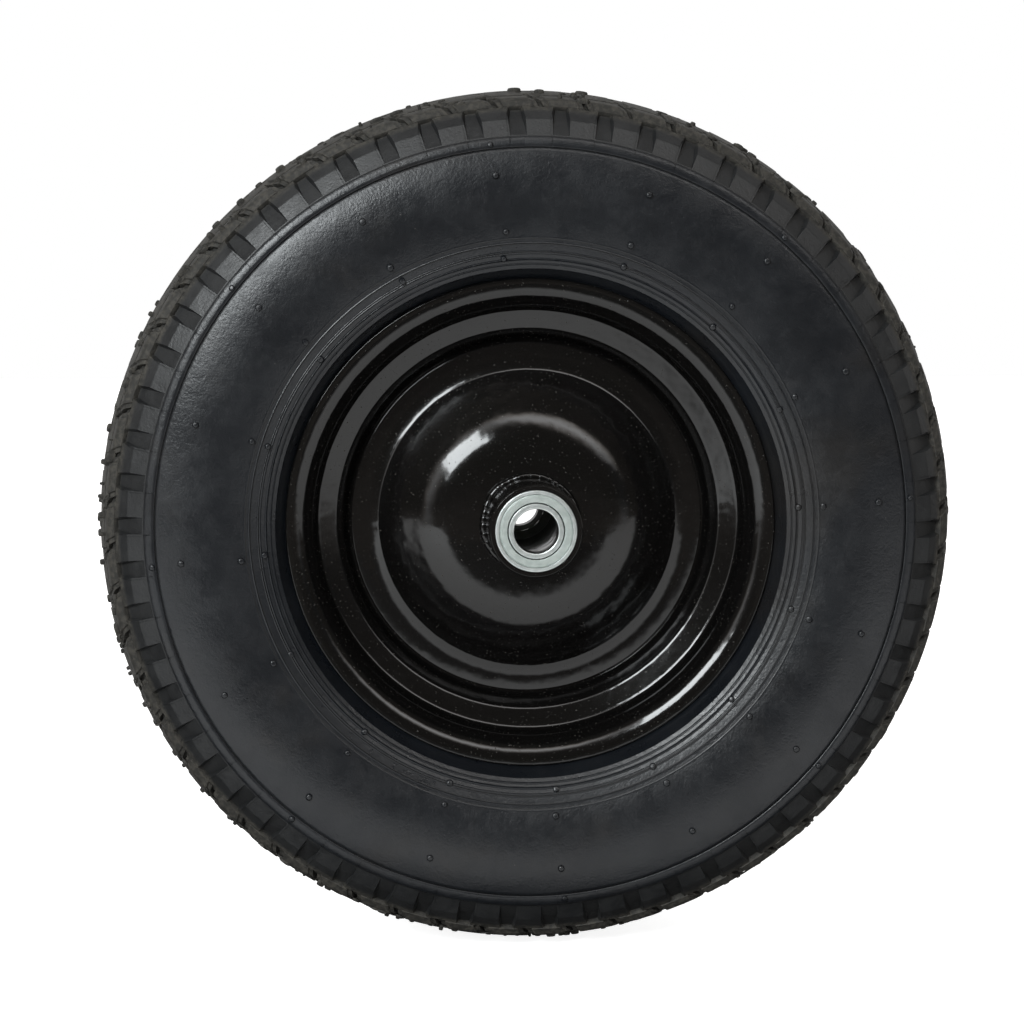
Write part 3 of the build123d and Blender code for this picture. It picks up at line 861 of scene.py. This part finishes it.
# %% Tyre rubber
def rubber_colour(rubber, cloud, speck, smear, tread, flank):
    """Bloom on the walls, grey on the blocks and brown on the bars, with stains and pale specks."""
    stain = rubber.noise(rubber.place(), 11.0, 5.0, 0.62)
    wall = rubber.mix(cloud.ramp(0.35, 0.7), (0.0054, 0.0066, 0.0088), (0.0080, 0.0095, 0.0120))
    wall = rubber.mix(stain.ramp(0.50, 0.70) * 0.35, wall, (0.019, 0.0155, 0.012))
    block = rubber.mix(smear.ramp(0.3, 0.7), (0.0088, 0.0096, 0.0106), (0.0160, 0.0168, 0.0176))
    bar = rubber.mix(speck.ramp(0.4, 0.65), (0.016, 0.015, 0.0125), (0.044, 0.040, 0.033))
    colour = rubber.mix(tread, rubber.mix(flank, wall, block), bar)
    return rubber.mix(speck.ramp(0.72, 0.78) * 0.5, colour, (0.12, 0.115, 0.105))


def tyre_rubber():
    """Paints shade into the moulded lines and hollows by darkening their colour, and lets the gloss follow
    clouds, patches and specks.
    """
    rubber = Finish("tyre_rubber")
    place = rubber.place()
    x, y, z = rubber.parts(place)
    radius = (x * x + z * z).root()
    tread = radius.ramp(0.1868, 0.1892)
    flank = radius.ramp(0.1758, 0.1766)
    bead = 1 - radius.ramp(0.126, 0.136)
    cloud = rubber.noise(place, 34.0, 4.0)
    grain = rubber.noise(place, 900.0, 2.0)
    speck = rubber.noise(place, 420.0, 3.0, 0.7)
    smear = rubber.noise(place, 75.0, 5.0, 0.75)
    colour = rubber_colour(rubber, cloud, speck, smear, tread, flank)
    sunk = rubber.node("ShaderNodeAttribute", {"attribute_name": "sunk"}, {}, "Fac").ramp(0.0, 2.6)
    moulded_line_shade = radius.band(0.1249, 0.00032)
    for ring in (0.1284, 0.1307, 0.17105, 0.1761):
        moulded_line_shade = moulded_line_shade + radius.band(ring, 0.00032)
    # Painted shade: the moulded lines, and the hollows in proportion to their depth, are darkened toward
    # near-black.
    colour = rubber.mix(moulded_line_shade.larger(sunk * 0.3), colour, (0.0025, 0.0025, 0.0026))
    rough = 0.22 + 0.10 * smear.ramp(0.38, 0.66) + 0.08 * cloud + 0.08 * speck
    rough = rough + 0.28 * tread + 0.09 * flank - 0.02 * bead + 0.1 * sunk + 0.3 * moulded_line_shade
    height = grain * 0.35 + speck * 0.5 + rubber.noise(place, 150.0, 2.0) * 0.5
    rubber.set(Base_Color=colour, Roughness=rough, Normal=rubber.bump(height, 0.00025))
    return rubber.data


finishes = {"tyre": tyre_rubber()}
print("nodes of the tyre's rubber:", len(finishes["tyre"].node_tree.nodes))

# %% [markdown]
# ## Gloss black paint
# The pressed steel is dipped in gloss black enamel. Its surface is almost a mirror, with a slight
# orange peel that bends the edges of reflections, and a few dust specks caught in the paint.

# %% Paint
def gloss_paint():
    """Nearly black and smooth. Slow noise bends the surface, and rare specks lighten and dull it."""
    paint = Finish("gloss_paint")
    place = paint.place()
    peel = paint.noise(place, 160.0, 1.0, 0.4)
    dust = paint.noise(place, 1400.0, 0.0)
    haze = paint.noise(place, 26.0, 4.0)
    speck = dust.ramp(0.785, 0.83)
    colour = paint.mix(speck * 0.6, (0.0032, 0.0030, 0.0029), (0.07, 0.062, 0.052))
    rough = 0.08 + 0.06 * haze + 0.4 * speck
    paint.set(Base_Color=colour, Roughness=rough, Normal=paint.bump(peel + speck * 0.5, 0.00012))
    return paint.data


finishes["rim_paint"] = gloss_paint()
print("nodes of the paint:", len(finishes["rim_paint"].node_tree.nodes))

# %% [markdown]
# ## Bearing steel
# The bearings are zinc-flashed steel, a little green in the light. Turning and pressing leave
# fine circles round the axle, so noise that follows the radius gives each its grain.

# %% Bright steel
def bright_steel(name, colour, worn, rough, line_scale, metallic=1.0):
    """Metal with fine rings round the axle in its gloss and bump, mottled by zinc, and with painted shade
    in the bore, where its colour is darkened.
    """
    steel = Finish(name)
    place = steel.place()
    x, y, z = steel.parts(place)
    radius = (x * x + z * z).root()
    lines = steel.node("ShaderNodeTexNoise", {"noise_dimensions": "1D"}, {"W": radius, "Scale": line_scale})
    mottle = steel.noise(place, 320.0, 3.0)
    tone = steel.mix(mottle.ramp(0.35, 0.7), colour, worn)
    # Painted shade: inside the bore, under a radius of about 10 mm, the colour is made dark.
    tone = steel.mix(radius.ramp(0.01005, 0.0104), (0.035, 0.033, 0.03), tone)
    normal = steel.bump(lines + mottle * 0.4, 0.00004)
    steel.set(Base_Color=tone, Roughness=rough + 0.12 * mottle + 0.08 * lines, Normal=normal)
    steel.set(Metallic=metallic)
    finishes[name] = steel.data


bright_steel("bearing_steel", (0.60, 0.65, 0.64), (0.72, 0.76, 0.75), 0.24, 4200.0, 0.75)
bright_steel("shield_steel", (0.47, 0.53, 0.505), (0.55, 0.605, 0.58), 0.34, 1500.0, 0.6)
bright_steel("ball_steel", (0.60, 0.60, 0.60), (0.70, 0.70, 0.70), 0.08, 900.0)
bright_steel("cage_steel", (0.50, 0.49, 0.47), (0.60, 0.58, 0.55), 0.30, 2500.0)
print("metals:", list(finishes)[2:])

# %% [markdown]
# ## The small parts
# The inner tube, the valve's stem and its cap are dull rubber and plastic, and the valve's core is
# brass. A fine mottle in the colour, the gloss and the surface is all that they need.

# %% Rubber, plastic and brass
def moulded(name, colour, lighter, rough, scale=260.0, metallic=0.0):
    """A slow noise mixes two colours, and a fine one gives roughness and bump."""
    skin = Finish(name)
    place = skin.place()
    mottle = skin.noise(place, scale, 4.0)
    slow = skin.noise(place, scale / 9, 3.0)
    tone = skin.mix(slow.ramp(0.35, 0.65), colour, lighter)
    skin.set(Base_Color=tone, Roughness=rough + 0.12 * mottle, Normal=skin.bump(mottle, 0.00008))
    skin.set(Metallic=metallic)
    finishes[name] = skin.data


moulded("tube_rubber", (0.012, 0.012, 0.013), (0.024, 0.023, 0.022), 0.55, 180.0)
moulded("stem_rubber", (0.014, 0.014, 0.015), (0.026, 0.025, 0.024), 0.45)
moulded("cap_plastic", (0.010, 0.010, 0.011), (0.018, 0.018, 0.019), 0.36)
moulded("valve_brass", (0.48, 0.33, 0.12), (0.62, 0.45, 0.19), 0.26, metallic=1.0)
print("finishes:", list(finishes))

# %% [markdown]
# ## Giving each piece its finish
# Every piece names the slot of its finish, and the wheel's record gives the slot of each packed
# piece, so one loop over the scene can paint them all.

# %% Paint every piece
for part in frame["record"]["subparts"]:
    frame["nodes"][part["node"]]["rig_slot"] = part["material_slot"]
painted = [piece for piece in scene.objects if "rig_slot" in piece]
for piece in painted:
    piece.data.materials.clear()
    piece.data.materials.append(finishes[piece["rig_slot"]])
print("painted pieces:", len(painted))

# %% [markdown]
# ## The white table
# The wheel stands on a white sheet. The camera sees the sheet at full white, with a little of its
# own light so that only the shadow at the tyre's foot is darker. Gloss sees it white only at middle
# slants, and dark elsewhere, as the photograph's reflections show.

# %% Floor
def table_white():
    """White cloth whose own light camera rays see, and glossy rays at half. The slant |y| / distance of the
    place seen from the axle limits what the glossy rays see; outside that band they see the cloth painted
    dark, as painted shade."""
    sheet = Finish("table_white")
    camera_ray = sheet.light_path("Camera").larger(sheet.light_path("Transmission"))
    glossy_ray = sheet.light_path("Glossy")
    x, y, z = sheet.parts(sheet.place())
    slant = abs(y) / (x * x + y * y + z * z).root()
    near = slant.ramp(0.40, 0.46) * (1 - slant.ramp(0.87, 0.93))
    glow = 0.88 * camera_ray.larger(glossy_ray * near * 0.5)
    # Painted shade: glossy rays outside the band of middle slants see a dark cloth colour, which near the
    # wheel stands in for its shadow.
    cloth_with_painted_shade = sheet.mix(glossy_ray * (1 - near), (0.8, 0.8, 0.8), (0.05, 0.046, 0.042))
    sheet.set(Base_Color=cloth_with_painted_shade, Roughness=0.9, Emission_Color=(1.0, 1.0, 1.0), Emission_Strength=glow)
    return sheet.data


floor_height = cad_low[2] - 0.0003
corners = [(x, y, floor_height) for x, y in ((-4, -1.1), (4, -1.1), (4, 6), (-4, 6))]
floor_mesh = bpy.data.meshes.new("floor")
floor_mesh.from_pydata(corners, [], [(0, 1, 2, 3)])
floor_mesh.materials.append(table_white())
floor = bpy.data.objects.new("floor", floor_mesh)
scene.collection.objects.link(floor)
print("floor at", round(floor_height, 4))

# %% [markdown]
# ## Studio light
# One soft box stands at the upper left. Its bright shape shows in the dome and in every fold of the
# pressed steel, and gives the rubber its broad sheen. The room behind the wheel is white, and the
# room in front is dim, so that the black paint keeps its depth. A dim glow round the box and another
# overhead show as soft arcs on the dome's shoulder.

# %% Lamp
lamp_size = (0.54, 0.60)
lamp_light = bpy.data.lights.new("softbox", "AREA")
lamp_light.shape = "RECTANGLE"
lamp_light.size, lamp_light.size_y = lamp_size
lamp_light.energy = 17.0 * math.pi * lamp_size[0] * lamp_size[1]
lamp_light.color = (0.93, 0.98, 1.0)
lamp = bpy.data.objects.new("softbox", lamp_light)
scene.collection.objects.link(lamp)
lamp.location = Vector((-0.444, -0.778, 0.445)).normalized() * 1.55
lamp_roll = Quaternion((0, 0, 1), math.radians(-42))
lamp.rotation_mode = "QUATERNION"
lamp.rotation_quaternion = (-lamp.location).to_track_quat("-Z", "Y") @ lamp_roll
print("softbox watts:", round(lamp_light.energy, 1))

# %% [markdown]
# The room is a formula of the direction in which a ray leaves. A ring of directions half way to
# the front holds the glows, and whatever the camera sees directly is plain white.

# %% World
world = bpy.data.worlds.new("studio")
scene.world = world
room = Finish("studio", world)
east, north, up = room.parts(room.node("ShaderNodeTexCoord", {}, {}, "Generated"))
camera_ray = room.light_path("Camera")
behind = north.ramp(-0.25, 0.35)
low = 1 - up.ramp(-0.15, 0.05)
ring = north.band(-0.68, 0.16)
above = (0.906 * up + 0.423 * east).ramp(0.50, 0.73)
glow = (0.707 * up - 0.707 * east).ramp(0.40, 0.73)
level = 0.09 + 0.72 * behind + (0.10 + 0.55 * ring) * low * (1 - behind)
level = level + ring * (4.0 * above + 1.7 * glow)
level = level * (1 - camera_ray) + camera_ray
tint = room.mix(camera_ray.larger(behind).larger(ring), (1.0, 0.90, 0.80), (1.0, 1.0, 1.0))
background = room.tree.nodes["Background"]
room.feed(background.inputs["Strength"], level)
room.feed(background.inputs["Color"], tint)
print("nodes of the world:", len(room.tree.nodes))

# %% [markdown]
# ## Colours in the picture
# The standard view leaves the sheet's white at full white, as it is in the photograph.

# %% View
scene.view_settings.view_transform = "Standard"
print("view:", scene.view_settings.view_transform)

# %% [markdown]
